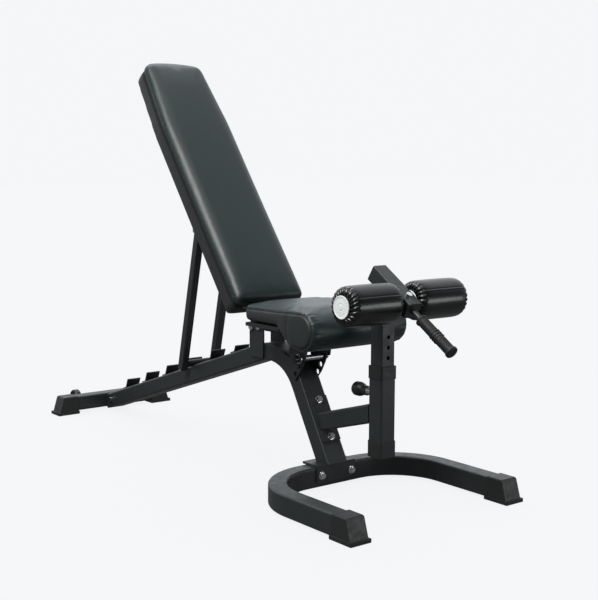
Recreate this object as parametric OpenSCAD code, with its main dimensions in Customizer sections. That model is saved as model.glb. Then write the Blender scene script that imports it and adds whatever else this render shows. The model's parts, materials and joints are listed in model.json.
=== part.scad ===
/* [Base] */
// Half spacing of the two front base legs
base_leg_x = 263; // [200:1:320]
// Centre line of the rear run of the front base, along Y
base_back_y = -430; // [-480:1:-380]
// Centre line radius of the base tube bends
base_bend_r = 172; // [120:1:200]
// Width of the base tube
base_tube_w = 50; // [40:1:60]
// Height of the front base tube
front_tube_h = 56; // [45:1:60]
// Height of the tops of both base tubes above the floor
base_top_z = 60; // [50:1:70]
// Front end of the front base legs, inside the caps
base_front_y = -838; // [-860:1:-800]
// Centre line of the rear stabiliser, along Y
rear_y = 815; // [780:1:840]
// Half length of the rear stabiliser tube
rear_half = 197; // [170:1:230]

/* [Feet] */
// Length of a foot cap
foot_len = 79; // [60:1:100]
// Width of a foot cap across its flange
foot_w = 63; // [56:1:70]
// Height of a foot cap
foot_h = 62; // [58:1:70]
// Height of the flange round a foot cap
foot_flange_h = 10; // [5:1:15]
// How far the end of a cap slopes back from flange to top
foot_slope = 21; // [5:1:25]
// Front of the front feet, along Y
foot_front_y = -866; // [-880:1:-850]

/* [Spine] */
// Width of the bent spine tube
spine_w = 70; // [50:1:90]
// Thickness of the bent spine tube
spine_t = 50; // [40:1:60]
// Wall thickness of the steel tubes
wall = 2.5; // [1.5:0.1:4]
// Rise of the rear beam towards the crest, degrees
beam_rise = 17.8; // [10:0.1:25]
// Lean of the front leg from upright, degrees
leg_lean = 30.2; // [20:0.1:40]
// Centre line radius of the spine bend
spine_bend_r = 150; // [120:1:180]
// Where the two straight centre lines of the spine would meet, along Y
spine_corner_y = -263.2; // [-280:0.1:-240]
// Where the two straight centre lines of the spine would meet, height
spine_corner_z = 368.4; // [350:0.1:390]
// Height of the plate under the front leg
saddle_top_z = 66; // [60:1:75]

/* [Ladder] */
// Number of catches on the beam
catch_count = 6; // [4:1:8]
// Position of the first catch corner, along Y
catch_first_y = 649; // [620:1:680]
// Distance between catches, along Y
catch_pitch_y = 134.3; // [110:0.1:150]
// Width of a catch
catch_w = 50; // [40:1:70]
// Length of a catch's leaning blade
catch_blade = 34; // [25:1:45]
// Angle between a catch's blade and the beam, degrees
catch_angle = 50; // [35:1:70]
// Plate thickness of a catch
catch_t = 4; // [3:0.5:6]

/* [Pivots] */
// Backrest pivot, along Y
back_pivot_y = -124; // [-140:1:-100]
// Backrest pivot, height
back_pivot_z = 405; // [390:1:420]
// Seat pivot, along Y
seat_pivot_y = -160; // [-180:1:-150]
// Seat pivot, height
seat_pivot_z = 409; // [395:1:420]
// Diameter of the pivot bolts
pivot_d = 12; // [8:0.5:16]
// Thickness of the pivot and sector plates
plate_t = 6; // [4:0.5:8]

/* [Backrest] */
// Lean of the backrest from flat, degrees
back_angle = 52.7; // [40:0.5:70]
// Start of the back pad, along the back frame from its pivot
back_start = 42; // [40:1:80]
// Length of the back pad
back_len = 876; // [700:1:900]
// Width of the back pad
back_w = 237; // [200:1:300]
// Width of the back pad at its head end
back_head_w = 204; // [180:1:300]
// Where the back pad starts to narrow, from its lower end
back_taper_at = 640; // [500:1:800]
// How far the back frame tube sits behind the line through its pivot
back_off = 8; // [0:1:12]
// Thickness of the back board
back_board_t = 15; // [10:1:20]
// Thickness of the back cushion
back_foam_t = 71; // [40:1:80]
// Distance from pivot to strut hinge, along the back frame
strut_at = 366.7; // [300:0.1:420]
// Distance of the strut hinge behind the back frame's centre line
strut_drop = 36; // [34:1:44]

/* [Strut] */
// Half spacing of the strut tubes
strut_x = 59; // [50:1:70]
// Width of a strut tube across the bench
strut_w = 24; // [20:1:30]
// Depth of a strut tube
strut_d = 25; // [20:1:30]
// Diameter of the bar that drops into the catches
strut_bar_d = 20; // [14:1:24]
// Lean of the strut from upright, degrees
strut_lean = 13.4; // [5:0.01:20]
// Distance from strut hinge to bar
strut_len = 439.2; // [400:0.1:500]

/* [Seat] */
// Rise of the seat towards its front, degrees
seat_rise = 2; // [0:0.5:8]
// Rear edge of the seat pad, from the seat pivot
seat_start = 56; // [40:1:80]
// Front of the seat roll, from the seat pivot
seat_end = 406; // [360:1:430]
// Half width of the seat pad at the rear
seat_rear_w = 138; // [110:1:180]
// Half width of the seat pad at the front roll
seat_front_w = 170; // [130:1:190]
// Radius of the seat's front roll
roll_r = 57; // [40:1:65]
// Height of the seat pad's top over the seat frame's centre line
seat_top = 80; // [60:1:90]
// Seat pin, along Y
pin_y = -354; // [-370:1:-340]
// Seat pin, height
pin_z = 342; // [330:1:350]
// Diameter of the seat pin
pin_d = 16; // [8:0.5:16]

/* [Post] */
// Centre line of the roller post, along Y
post_y = -641; // [-660:1:-620]
// Size of the outer post
outer_post_w = 50; // [40:1:60]
// Size of the inner post
inner_post_w = 44; // [34:0.5:54]
// Lower end of the outer post
post_low_z = 127; // [110:1:150]
// Upper end of the outer post
post_top_z = 355; // [320:1:380]
// Lower end of the inner post
inner_low_z = 215; // [200:1:240]
// Spacing of the height holes
hole_pitch = 27; // [20:1:40]
// Height of the pop pin
pop_z = 284.5; // [270:0.5:300]
// Rise of the cross bar towards the post, degrees
cross_rise = 16.1; // [5:0.1:25]
// Height at which the cross bar's centre line meets the front leg
cross_z = 164; // [140:1:190]

/* [Roller arm] */
// Fall of the arm towards the front, degrees
arm_fall = 32.5; // [20:0.5:45]
// Height at which the arm crosses the post's centre line
arm_z = 581; // [560:1:600]
// Arm length behind the post's centre line
arm_rear = 27; // [24:1:40]
// Arm length in front of the post's centre line
arm_front = 127; // [100:1:150]
// Roller axle, along Y
axle_y = -709; // [-730:1:-690]
// Roller axle, height
axle_z = 530; // [500:1:560]
// Diameter of the roller axle
axle_d = 20; // [12:1:24]
// Radius of the rollers
roller_r = 51; // [40:1:60]
// Outer end of the rollers, along X
roller_end = 196; // [150:1:250]
// Inner end of the rollers, along X
roller_in = 25; // [24:1:40]
// Start of the grip, along the arm from the post
grip_start = 165; // [150:1:180]
// End of the grip, along the arm from the post
grip_end = 293; // [260:1:320]
// Radius of the grip
grip_r = 14; // [12:0.5:18]

/* [Wheels] */
// Centre of a transport wheel, along X
wheel_x = 118; // [110:1:140]
// Wheel axle, along Y
wheel_y = 870; // [860:1:880]
// Wheel axle, height
wheel_z = 42; // [30:1:50]
// Radius of a transport wheel
wheel_r = 27; // [20:1:30]

/* [Hidden] */
$fn = 64;
steel = [0.16, 0.17, 0.18];
moulded = [0.1, 0.1, 0.11];
hide = [0.22, 0.25, 0.26];
chrome = [0.75, 0.76, 0.78];
pale = [0.78, 0.79, 0.8];
tiny = 0.02;
bend_lap = 3;
bend_step = 0.1;
gap = 0.3;
corner_r = 6;
far = 400;
run_clear = 0.05;
bolt_clear = 0.1;
beam_turn = 90 - beam_rise;
turn = beam_rise + 90 - leg_lean;
tangent = spine_bend_r * tan(turn / 2);
leg_top_y = spine_corner_y - tangent * sin(leg_lean);
leg_top_z = spine_corner_z - tangent * cos(leg_lean);
beam_top_y = spine_corner_y + tangent * cos(beam_rise);
beam_top_z = spine_corner_z - tangent * sin(beam_rise);
bend_y = leg_top_y + spine_bend_r * cos(leg_lean);
bend_z = leg_top_z - spine_bend_r * sin(leg_lean);
leg_len = (leg_top_z - saddle_top_z) / cos(leg_lean) + 40;
rear_face_y = rear_y - base_tube_w / 2;
beam_len = (rear_face_y - beam_top_y) / cos(beam_rise) + 30;
beam_slope = tan(beam_rise);
beam_skin = spine_t / 2 / cos(beam_rise);
rear_bolt_y = 756;
rear_bolt_z = 42;
tube_low_z = base_top_z - front_tube_h;
spine_x = spine_w / 2;
plate_x = spine_x + plate_t / 2;
frame_w = 50;
frame_t = 30;
half_t = frame_t / 2;
saddle_x = 66;
saddle_t = 6;
saddle_front = base_back_y - base_tube_w / 2 - saddle_t;
saddle_bolt_x = 52;
saddle_bolt_z = 38;
m10_r = 5;
m10_head = 8.5;
m10_head_h = 6.5;
washer_r = 11;
washer_t = 2;
flange_len = 130;
flange_w = 60;
flange_bolt = 54;
leg_at_cross = (leg_top_z - cross_z) / cos(leg_lean);
cross_leg_y = leg_top_y - leg_at_cross * sin(leg_lean);
post_back = post_y + outer_post_w / 2;
cross_end_z = cross_z + (cross_leg_y - post_back) * tan(cross_rise);
pin_off_y = pin_y - seat_pivot_y;
pin_off_z = pin_z - seat_pivot_z;
pin_reach = sqrt(pin_off_y * pin_off_y + pin_off_z * pin_off_z);
pin_fall = atan(pin_off_z / pin_off_y);
pin_step = 7.5;
seat_turn = 90 - seat_rise;
screw_z = [150, 320, 520, 630];
seat_screw_z = [90, 225];
back_turn = back_angle - 90;
board_in = half_t - back_off;
board_out = board_in + back_board_t;
foam_out = board_out + back_foam_t;
strut_y = back_pivot_y + strut_at * cos(back_angle) + strut_drop * sin(back_angle);
strut_z = back_pivot_z + strut_at * sin(back_angle) - strut_drop * cos(back_angle);
hub_r = 28;
hub_t = 4;
core_r = 17;
pop_bore = 10;
barrel_len = 30;
barrel_r = 11;
knob_gap = 1;
knob_len = 50;
knob_r = 19;
bracket_t = 4;
bracket_in = 11.5;
bracket_h = 24;
axle_r = 5;

module solid_profile(w, h, r) {
  square([w - 2 * r, h], center = true);
  square([w, h - 2 * r], center = true);
  for (sx = [-1, 1])
    for (sy = [-1, 1])
      translate([sx * (w / 2 - r), sy * (h / 2 - r)])
        circle(r = r, $fn = 32);
}

module tube_profile(w, h, r, t) {
  difference() {
    solid_profile(w, h, r);
    solid_profile(w - 2 * t, h - 2 * t, r - t);
  }
}

module tube(w, h, len) {
  linear_extrude(height = len)
    tube_profile(w, h, corner_r, wall);
}

module rod_x(x0, x1, r) {
  translate([x0, 0, 0])
    rotate([0, 90, 0])
      cylinder(r = r, h = x1 - x0);
}

module hex_x(x0, x1, r) {
  translate([x0, 0, 0])
    rotate([0, 90, 0])
      cylinder(r = r, h = x1 - x0, $fn = 6);
}

module hex_bolt(head_r, head_h, shaft_r, shaft_len) {
  cylinder(r = washer_r, h = washer_t);
  translate([0, 0, washer_t])
    cylinder(r = head_r, h = head_h, $fn = 6);
  translate([0, 0, -shaft_len])
    cylinder(r = shaft_r, h = shaft_len);
}

module at_beam() {
  translate([0, beam_top_y, beam_top_z])
    rotate([beam_turn, 0, 0])
      children();
}

module at_leg() {
  translate([0, leg_top_y, leg_top_z])
    rotate([-leg_lean, 0, 0])
      children();
}

module at_back() {
  translate([0, back_pivot_y, back_pivot_z])
    rotate([back_turn, 0, 0])
      children();
}

module at_seat() {
  translate([0, seat_pivot_y, seat_pivot_z])
    rotate([seat_turn, 0, 0])
      children();
}

module at_arm() {
  translate([0, post_y, arm_z])
    rotate([90 + arm_fall, 0, 0])
      children();
}

module at_strut() {
  translate([0, strut_y, strut_z])
    rotate([strut_lean, 0, 0])
      children();
}

module spine_tube() {
  color(steel)
    difference() {
      union() {
        translate([0, bend_y, bend_z])
          rotate([90, 0, 90])
            rotate([0, 0, beam_turn]) {
              rotate_extrude(angle = turn, $fn = 96)
                translate([spine_bend_r, 0])
                  tube_profile(spine_t, spine_w, corner_r, wall);
              translate([spine_bend_r, 0, 0])
                rotate([90, 0, 0])
                  tube(spine_t, spine_w, beam_len);
              rotate([0, 0, turn])
                translate([spine_bend_r, -bend_lap, 0])
                  rotate([-90, 0, 0])
                    linear_extrude(leg_len + bend_lap)
                      tube_profile(spine_t - 2 * bend_step, spine_w - 2 * bend_step,
                        corner_r - bend_step, wall - 2 * bend_step);
            }
      }
      translate([-far, -far - base_tube_w - far, saddle_top_z - far])
        cube([2 * far, 2 * far, far]);
      translate([-far, rear_face_y - gap, -far])
        cube([2 * far, far, 2 * far]);
      translate([0, rear_bolt_y, rear_bolt_z])
        rod_x(-spine_w, spine_w, m10_r + bolt_clear);
      at_leg()
        for (s = [-1, 1])
          translate([0, -spine_t / 2 - 1, s * flange_bolt - leg_at_cross])
            rotate([-90, 0, 0])
              cylinder(r = m10_r + bolt_clear, h = wall + 2);
    }
}

module front_base_tube() {
  bend_cx = base_leg_x - base_bend_r;
  bend_cy = base_back_y - base_bend_r;
  mid_z = base_top_z - front_tube_h / 2;
  color(steel)
    difference() {
      union() {
        for (s = [-1, 1]) {
          translate([s * base_leg_x, bend_cy, mid_z])
            rotate([90, 0, 0])
              tube(base_tube_w, front_tube_h, bend_cy - base_front_y);
          translate([s * bend_cx, bend_cy, mid_z])
            rotate([0, 0, s > 0 ? 0 : 90])
              rotate_extrude(angle = 90, $fn = 96)
                translate([base_bend_r, 0])
                  tube_profile(base_tube_w, front_tube_h, corner_r, wall);
        }
        translate([-bend_cx, base_back_y, mid_z])
          rotate([90, 0, 90])
            tube(base_tube_w, front_tube_h, 2 * bend_cx);
      }
      for (s = [-1, 1])
        translate([s * saddle_bolt_x, base_back_y - base_tube_w, saddle_bolt_z])
          rotate([-90, 0, 0])
            cylinder(r = m10_r + bolt_clear, h = base_tube_w);
    }
}

module foot_shape() {
  half = foot_w / 2;
  intersection() {
    translate([-foot_w, 0, 0])
      rotate([90, 0, 90])
        linear_extrude(height = 2 * foot_w)
          polygon([[0, 0], [foot_len, 0], [foot_len, foot_flange_h],
            [foot_len - 2, foot_flange_h], [foot_len - 3, foot_h - 3], [foot_len - 6, foot_h],
            [foot_slope + 4, foot_h], [foot_slope, foot_h - 4], [7, foot_flange_h],
            [0, foot_flange_h]]);
    translate([0, foot_len, 0])
      rotate([90, 0, 0])
        linear_extrude(height = foot_len)
          polygon([[-half, 0], [half, 0], [half, foot_flange_h], [half - 3, foot_flange_h],
            [half - 4, foot_h - 3], [half - 6, foot_h], [6 - half, foot_h],
            [4 - half, foot_h - 3], [3 - half, foot_flange_h], [-half, foot_flange_h]]);
  }
}

module foot_cap(tube_h, low_z, socket) {
  difference() {
    foot_shape();
    translate([0, socket, low_z + tube_h / 2])
      rotate([-90, 0, 0])
        linear_extrude(height = foot_len)
          solid_profile(base_tube_w, tube_h, corner_r);
  }
}

module front_foot(side) {
  color(moulded)
    translate([side * base_leg_x, foot_front_y, 0])
      foot_cap(front_tube_h, tube_low_z, base_front_y - foot_front_y);
}

module front_foot_left() {
  front_foot(1);
}

module front_foot_right() {
  front_foot(-1);
}

module rear_foot(side) {
  reach = rear_half + 28;
  color(moulded)
    translate([side * reach, rear_y, 0])
      rotate([0, 0, side * 90])
        foot_cap(base_tube_w, base_top_z - base_tube_w, reach - rear_half);
}

module rear_foot_left() {
  rear_foot(1);
}

module rear_foot_right() {
  rear_foot(-1);
}

module rear_stabiliser() {
  mid_z = base_top_z - base_tube_w / 2;
  tongue_w = spine_w - 2 * wall - 3;
  tongue_h = spine_t - 2 * wall - 3;
  color(steel)
    union() {
      translate([-rear_half, rear_y, mid_z])
        rotate([90, 0, 90])
          tube(base_tube_w, base_tube_w, 2 * rear_half);
      difference() {
        at_beam()
          translate([-tongue_w / 2, -tongue_h / 2, -beam_len])
            cube([tongue_w, tongue_h, 100]);
        translate([-far, rear_face_y, -far])
          cube([2 * far, far, 2 * far]);
        translate([0, rear_bolt_y, rear_bolt_z])
          rod_x(-spine_w, spine_w, m10_r + bolt_clear);
      }
    }
}

module rear_cross_bolt() {
  color(chrome)
    translate([0, rear_bolt_y, rear_bolt_z]) {
      rod_x(-spine_x - 1, spine_x + 1, m10_r);
      hex_x(-spine_x - m10_head_h, -spine_x, m10_head);
      hex_x(spine_x, spine_x + m10_head_h, m10_head);
    }
}

module leg_saddle() {
  color(steel)
    difference() {
      union() {
        translate([-saddle_x, saddle_front, base_top_z])
          cube([2 * saddle_x, 66, saddle_t]);
        translate([-saddle_x, saddle_front, 18])
          cube([2 * saddle_x, saddle_t, base_top_z - 18 + saddle_t]);
      }
      for (s = [-1, 1])
        translate([s * saddle_bolt_x, saddle_front - 1, saddle_bolt_z])
          rotate([-90, 0, 0])
            cylinder(r = m10_r + bolt_clear, h = saddle_t + 2);
    }
}

module saddle_bolts() {
  color(chrome)
    for (s = [-1, 1])
      translate([s * saddle_bolt_x, saddle_front, saddle_bolt_z])
        rotate([90, 0, 0])
          hex_bolt(m10_head, m10_head_h, m10_r, saddle_t + 12);
}

module catch_side(blade, off_y, off_z, base_len) {
  blade_y = sin(catch_angle) * blade;
  blade_z = cos(catch_angle) * blade;
  polygon([[0, 0], [blade_y, blade_z], [blade_y + off_y, blade_z - off_z],
    [catch_t, -catch_t * 0.55], [catch_t, -base_len], [0, -base_len]]);
}

module ladder_catches() {
  off_y = cos(catch_angle) * catch_t;
  off_z = sin(catch_angle) * catch_t;
  base_len = 22;
  last = 0.62;
  color(steel)
    for (i = [0 : catch_count - 1])
      translate([0, catch_first_y - i * catch_pitch_y,
        spine_corner_z - (catch_first_y - i * catch_pitch_y - spine_corner_y) * beam_slope])
        rotate([beam_turn, 0, 0])
          translate([-catch_w / 2, spine_t / 2, -spine_t / 2 * beam_slope])
            rotate([90, 0, 90])
              linear_extrude(height = catch_w)
                catch_side(catch_blade * (i == catch_count - 1 ? last : 1), off_y, off_z,
                  base_len);
}

module plate_hole(y, z, r) {
  translate([0, y, z])
    rod_x(-spine_w, spine_w, r);
}

module side_plates() {
  for (s = [-1, 1])
    translate([s * plate_x - plate_t / 2, 0, 0])
      rotate([90, 0, 90])
        linear_extrude(height = plate_t)
          children();
}

module pivot_plates() {
  low = 318;
  high = 424;
  y0 = -175;
  y1 = -109;
  color(steel)
    difference() {
      side_plates()
        polygon([[y0 + 6, low], [y1 - 6, low], [y1, low + 6], [y1, high - 12],
          [y1 - 12, high], [y0 + 12, high], [y0, high - 12], [y0, low + 6]]);
      plate_hole(back_pivot_y, back_pivot_z, pivot_d / 2 + run_clear);
      plate_hole(seat_pivot_y, seat_pivot_z, pivot_d / 2 + run_clear);
    }
}

module sector_plates() {
  color(steel)
    difference() {
      side_plates()
        polygon([[-368, 415], [-375, 408], [-377, 385], [-375, 358], [-362, 328], [-345, 298],
          [-326, 276], [-302, 300], [-300, 345], [-304, 405], [-312, 415]]);
      for (i = [-1 : 2])
        plate_hole(seat_pivot_y - pin_reach * cos(pin_fall + i * pin_step),
          seat_pivot_z - pin_reach * sin(pin_fall + i * pin_step), pin_d / 2 + run_clear);
    }
}

module pivot_bolt(reach) {
  rod_x(-reach - 1, reach + 1, pivot_d / 2);
  hex_x(-reach - 8, -reach, 10.5);
  hex_x(reach, reach + 10, 10.5);
}

module seat_pivot_bolt() {
  color(chrome)
    translate([0, seat_pivot_y, seat_pivot_z])
      pivot_bolt(spine_x + plate_t);
}

module back_pivot_bolt() {
  color(chrome)
    translate([0, back_pivot_y, back_pivot_z])
      pivot_bolt(spine_x + plate_t);
}

module cross_bar() {
  color(steel)
    difference() {
      union() {
        difference() {
          translate([0, cross_leg_y, cross_z])
            rotate([90 - cross_rise, 0, 0])
              translate([0, 0, -far / 2])
                tube(base_tube_w, base_tube_w, 2 * far);
          at_leg()
            translate([-far, -spine_t / 2, -2 * far])
              cube([2 * far, 2 * far, 4 * far]);
          translate([-far, post_back - 2 * far, -far])
            cube([2 * far, 2 * far, 3 * far]);
        }
        at_leg()
          translate([-flange_w / 2, -spine_t / 2 - saddle_t, -leg_at_cross - flange_len / 2])
            cube([flange_w, saddle_t, flange_len]);
      }
      at_leg()
        for (s = [-1, 1])
          translate([0, -spine_t / 2 - saddle_t - 1, s * flange_bolt - leg_at_cross])
            rotate([-90, 0, 0])
              cylinder(r = m10_r + bolt_clear, h = saddle_t + 2);
    }
}

module flange_bolts() {
  color(chrome)
    at_leg()
      for (s = [-1, 1])
        translate([0, -spine_t / 2 - saddle_t, s * flange_bolt - leg_at_cross])
          rotate([90, 0, 0])
            hex_bolt(m10_head, m10_head_h, m10_r, saddle_t + 10);
}

module post_section(w, r) {
  solid_profile(w, w, r);
}

module outer_post() {
  color(steel)
    difference() {
      translate([0, post_y, post_low_z])
        linear_extrude(height = post_top_z - post_low_z)
          post_section(outer_post_w, corner_r);
      translate([0, post_y, post_low_z - 1])
        linear_extrude(height = post_top_z - post_low_z + 2)
          post_section(inner_post_w + 0.4, corner_r - 2.8);
      translate([0, post_y, pop_z])
        rotate([-90, 0, 0])
          cylinder(r = pop_bore / 2 + bolt_clear, h = outer_post_w);
    }
}

module post_collar() {
  collar_w = 54;
  lip = 4;
  color(moulded)
    difference() {
      translate([0, post_y, post_top_z - 29])
        linear_extrude(height = 29 + lip)
          post_section(collar_w, corner_r + 1);
      translate([0, post_y, post_top_z - 30])
        linear_extrude(height = 30)
          post_section(outer_post_w, corner_r);
      translate([0, post_y, post_top_z - 1])
        linear_extrude(height = lip + 2)
          post_section(inner_post_w + 0.4, corner_r - 2.8);
    }
}

module post_bottom_cap() {
  cap_w = 54;
  skirt = 36;
  color(moulded)
    difference() {
      translate([0, post_y, post_low_z - 6])
        linear_extrude(height = skirt + 6)
          post_section(cap_w, corner_r + 1);
      translate([0, post_y, post_low_z])
        linear_extrude(height = skirt + 1)
          post_section(outer_post_w, corner_r);
    }
}

module pop_barrel() {
  color(steel)
    translate([0, post_back, pop_z])
      rotate([-90, 0, 0])
        difference() {
          union() {
            cylinder(r = barrel_r, h = barrel_len);
            cylinder(r = 16, h = 10, $fn = 6);
          }
          translate([0, 0, -1])
            cylinder(r = pop_bore / 2 + run_clear, h = barrel_len + 2);
        }
}

module pop_plunger() {
  tip = post_y + inner_post_w / 2 + gap;
  tip_len = post_back + barrel_len + knob_gap + 36 - tip;
  color(chrome)
    translate([0, tip, pop_z])
      rotate([-90, 0, 0])
        cylinder(r = pop_bore / 2, h = tip_len);
}

module pop_knob() {
  neck_r = 13;
  color(moulded)
    translate([0, post_back + barrel_len + knob_gap, pop_z])
      rotate([-90, 0, 0])
        difference() {
          rotate_extrude()
            polygon([[0, 0], [neck_r, 0], [neck_r, 14], [neck_r + 3, 18], [knob_r - 1, 24],
              [knob_r, 28], [knob_r, knob_len - 8], [knob_r - 2, knob_len - 4],
              [knob_r - 6, knob_len - 1], [neck_r - 4, knob_len], [0, knob_len]]);
          translate([0, 0, -1])
            cylinder(r = pop_bore / 2, h = 37);
        }
}

module wheel_brackets() {
  face = rear_y + base_tube_w / 2;
  color(steel)
    for (s = [-1, 1])
      for (t = [-1, 1])
        translate([s * wheel_x + t * (bracket_in + bracket_t / 2) - bracket_t / 2, 0, 0])
          rotate([90, 0, 90])
            linear_extrude(height = bracket_t)
              difference() {
                union() {
                  translate([face, wheel_z - bracket_h / 2])
                    square([wheel_y - face, bracket_h]);
                  translate([wheel_y, wheel_z])
                    circle(r = bracket_h / 2);
                }
                translate([wheel_y, wheel_z])
                  circle(r = axle_r + bolt_clear);
              }
}

module wheel_axles() {
  reach = bracket_in + bracket_t;
  color(chrome)
    for (s = [-1, 1])
      translate([s * wheel_x, wheel_y, wheel_z]) {
        rod_x(-reach - 1, reach + 1, axle_r);
        hex_x(reach, reach + 6, m10_head);
        hex_x(-reach - 6, -reach, m10_head);
      }
}

module wheel(side) {
  half = 10.5;
  color(moulded)
    translate([side * wheel_x, wheel_y, wheel_z])
      rotate([0, 90, 0])
        difference() {
          rotate_extrude()
            polygon([[axle_r + run_clear, -half], [13, -half], [14, 3 - half], [19, 3 - half],
              [20, -half], [wheel_r - 2, -half], [wheel_r, 3 - half], [wheel_r, half - 3],
              [wheel_r - 2, half], [20, half], [19, half - 3], [14, half - 3], [13, half],
              [axle_r + run_clear, half]]);
        }
}

module wheel_left() {
  wheel(1);
}

module wheel_right() {
  wheel(-1);
}

module back_frame() {
  frame_len = 660;
  color(steel)
    difference() {
      union() {
        at_back()
          translate([0, back_off, 0])
            tube(frame_w, frame_t, frame_len);
        at_back()
          rod_x(gap - spine_x, spine_x - gap, 12);
        at_back()
          translate([-20, half_t + back_off - 1, strut_at - 12])
            cube([40, strut_drop - half_t - back_off + 1, 24]);
        translate([0, strut_y, strut_z])
          rod_x(-45, 45, 11);
      }
      at_back()
        rod_x(-spine_x, spine_x, pivot_d / 2 + run_clear);
      translate([0, strut_y, strut_z])
        rod_x(-46, 46, pivot_d / 2 + run_clear);
      at_back()
        for (s = screw_z)
          translate([0, back_off - half_t - 1, s])
            rotate([-90, 0, 0])
              cylinder(r = 4.1, h = frame_t + 2);
    }
}

module back_plan(inset) {
  w0 = back_w / 2 - inset;
  w1 = back_head_w / 2 - inset;
  top = back_start + back_len - inset;
  low = back_start + inset;
  bend = back_start + back_taper_at;
  polygon([[8 - w0, low], [w0 - 8, low], [w0 - 2, low + 2], [w0, low + 8], [w0, bend],
    [w1, top - 26], [w1 - 7, top - 8], [w1 - 26, top], [26 - w1, top], [7 - w1, top - 8],
    [-w1, top - 26], [-w0, bend], [-w0, low + 8], [2 - w0, low + 2]]);
}

module back_board() {
  color(moulded)
    difference() {
      at_back()
        translate([0, -board_in, 0])
          rotate([90, 0, 0])
            linear_extrude(height = back_board_t)
              back_plan(4);
      at_back()
        for (s = screw_z)
          translate([0, -board_in - 12, s])
            rotate([-90, 0, 0])
              cylinder(r = 4, h = 20);
    }
}

module back_cushion() {
  color(hide)
    at_back()
      translate([0, -board_out, 0])
        rotate([90, 0, 0])
          linear_extrude(height = back_foam_t)
            back_plan(0);
}

module back_screws() {
  color(chrome)
    at_back()
      for (s = screw_z)
        translate([0, half_t + back_off, s])
          rotate([-90, 0, 0]) {
            cylinder(r = 8, h = 4);
            translate([0, 0, -frame_t - 11])
              cylinder(r = 4, h = frame_t + 11);
          }
}

module strut_frame() {
  tail = 16;
  top = 15;
  color(steel)
    difference() {
      union() {
        for (s = [-1, 1])
          at_strut()
            translate([s * strut_x, 0, -strut_len - tail])
              linear_extrude(height = strut_len + tail + top)
                difference() {
                  solid_profile(strut_w, strut_d, 3);
                  solid_profile(strut_w - 4, strut_d - 4, 1);
                }
        at_strut()
          translate([0, 0, -strut_len])
            rod_x(2 - strut_x, strut_x - 2, strut_bar_d / 2);
      }
      translate([0, strut_y, strut_z])
        rod_x(-far, far, pivot_d / 2 + bolt_clear);
    }
}

module strut_plugs() {
  tail = 16;
  top = 15;
  color(moulded)
    for (s = [-1, 1])
      for (e = [top, -strut_len - tail - 3])
        at_strut()
          translate([s * strut_x, 0, e])
            linear_extrude(height = 3)
              solid_profile(strut_w, strut_d, 3);
}

module strut_pivot_bolt() {
  reach = strut_x + strut_w / 2;
  color(chrome)
    translate([0, strut_y, strut_z]) {
      rod_x(-reach - 1, reach + 1, pivot_d / 2);
      hex_x(-reach - 8, -reach, 10.5);
      hex_x(reach, reach + 10, 10.5);
    }
}

module seat_frame() {
  frame_len = 238;
  bracket_x = spine_x + plate_t + 5.5;
  color(steel)
    difference() {
      union() {
        at_seat()
          tube(frame_w, frame_t, frame_len);
        at_seat()
          rod_x(gap - spine_x, spine_x - gap, 12);
        at_seat()
          translate([-bracket_x, 5, 150])
            cube([2 * bracket_x, 5, 70]);
        for (s = [-1, 1])
          translate([s * (bracket_x - 2.5) - 2.5, 0, 0])
            rotate([90, 0, 90])
              linear_extrude(height = 5)
                polygon([[-314, 418], [-314, 372], [-345, 336], [-368, 336], [-376, 350],
                  [-379, 375], [-379, 421]]);
      }
      at_seat()
        rod_x(-spine_x, spine_x, pivot_d / 2 + run_clear);
      translate([0, pin_y, pin_z])
        rod_x(-spine_w, spine_w, pin_d / 2 + run_clear);
      translate([-spine_w, pin_y - 40, pin_z - 20])
        cube([2 * spine_w, 80, 23]);
      at_seat()
        for (s = seat_screw_z)
          translate([0, -half_t - 1, s])
            rotate([-90, 0, 0])
              cylinder(r = 4.1, h = frame_t + 2);
    }
}

module seat_plan(inset, u0, u1) {
  span = seat_end - roll_r - seat_start;
  w0 = seat_rear_w + (seat_front_w - seat_rear_w) * (u0 - seat_start) / span - inset;
  w1 = seat_rear_w + (seat_front_w - seat_rear_w) * (u1 - seat_start) / span - inset;
  polygon([[-w0, u0], [w0, u0], [w1, u1], [-w1, u1]]);
}

module seat_board() {
  color(moulded)
    difference() {
      at_seat()
        translate([0, half_t + 10, 0])
          rotate([90, 0, 0])
            linear_extrude(height = 10)
              seat_plan(6, seat_start + 4, 240);
      at_seat()
        for (s = seat_screw_z)
          translate([0, half_t - 8, s])
            rotate([-90, 0, 0])
              cylinder(r = 4, h = 16);
    }
}

module seat_cushion() {
  mid = seat_end - roll_r;
  low = half_t + 10;
  roll_v = seat_top - roll_r;
  color(hide)
    at_seat()
      intersection() {
        translate([-far, 0, 0])
          rotate([90, 0, 90])
            linear_extrude(height = 2 * far)
              union() {
                polygon([[low, seat_start], [seat_top, seat_start], [seat_top, mid],
                  [roll_v - roll_r, mid], [roll_v - roll_r + 5, mid - 46], [6, 246],
                  [low, 246]]);
                translate([roll_v, mid])
                  circle(r = roll_r, $fn = 96);
              }
        translate([0, seat_top + 1, 0])
          rotate([90, 0, 0])
            linear_extrude(height = far)
              seat_outline();
      }
}

module seat_outline() {
  mid = seat_end - roll_r;
  polygon([[-seat_rear_w, seat_start], [seat_rear_w, seat_start], [seat_front_w, mid],
    [seat_front_w, seat_end + 10], [-seat_front_w, seat_end + 10], [-seat_front_w, mid]]);
}

module seat_screws() {
  color(chrome)
    at_seat()
      for (s = seat_screw_z)
        translate([0, -half_t, s])
          rotate([90, 0, 0]) {
            cylinder(r = 8, h = 4);
            translate([0, 0, -frame_t - 7])
              cylinder(r = 4, h = frame_t + 7);
          }
}

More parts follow.
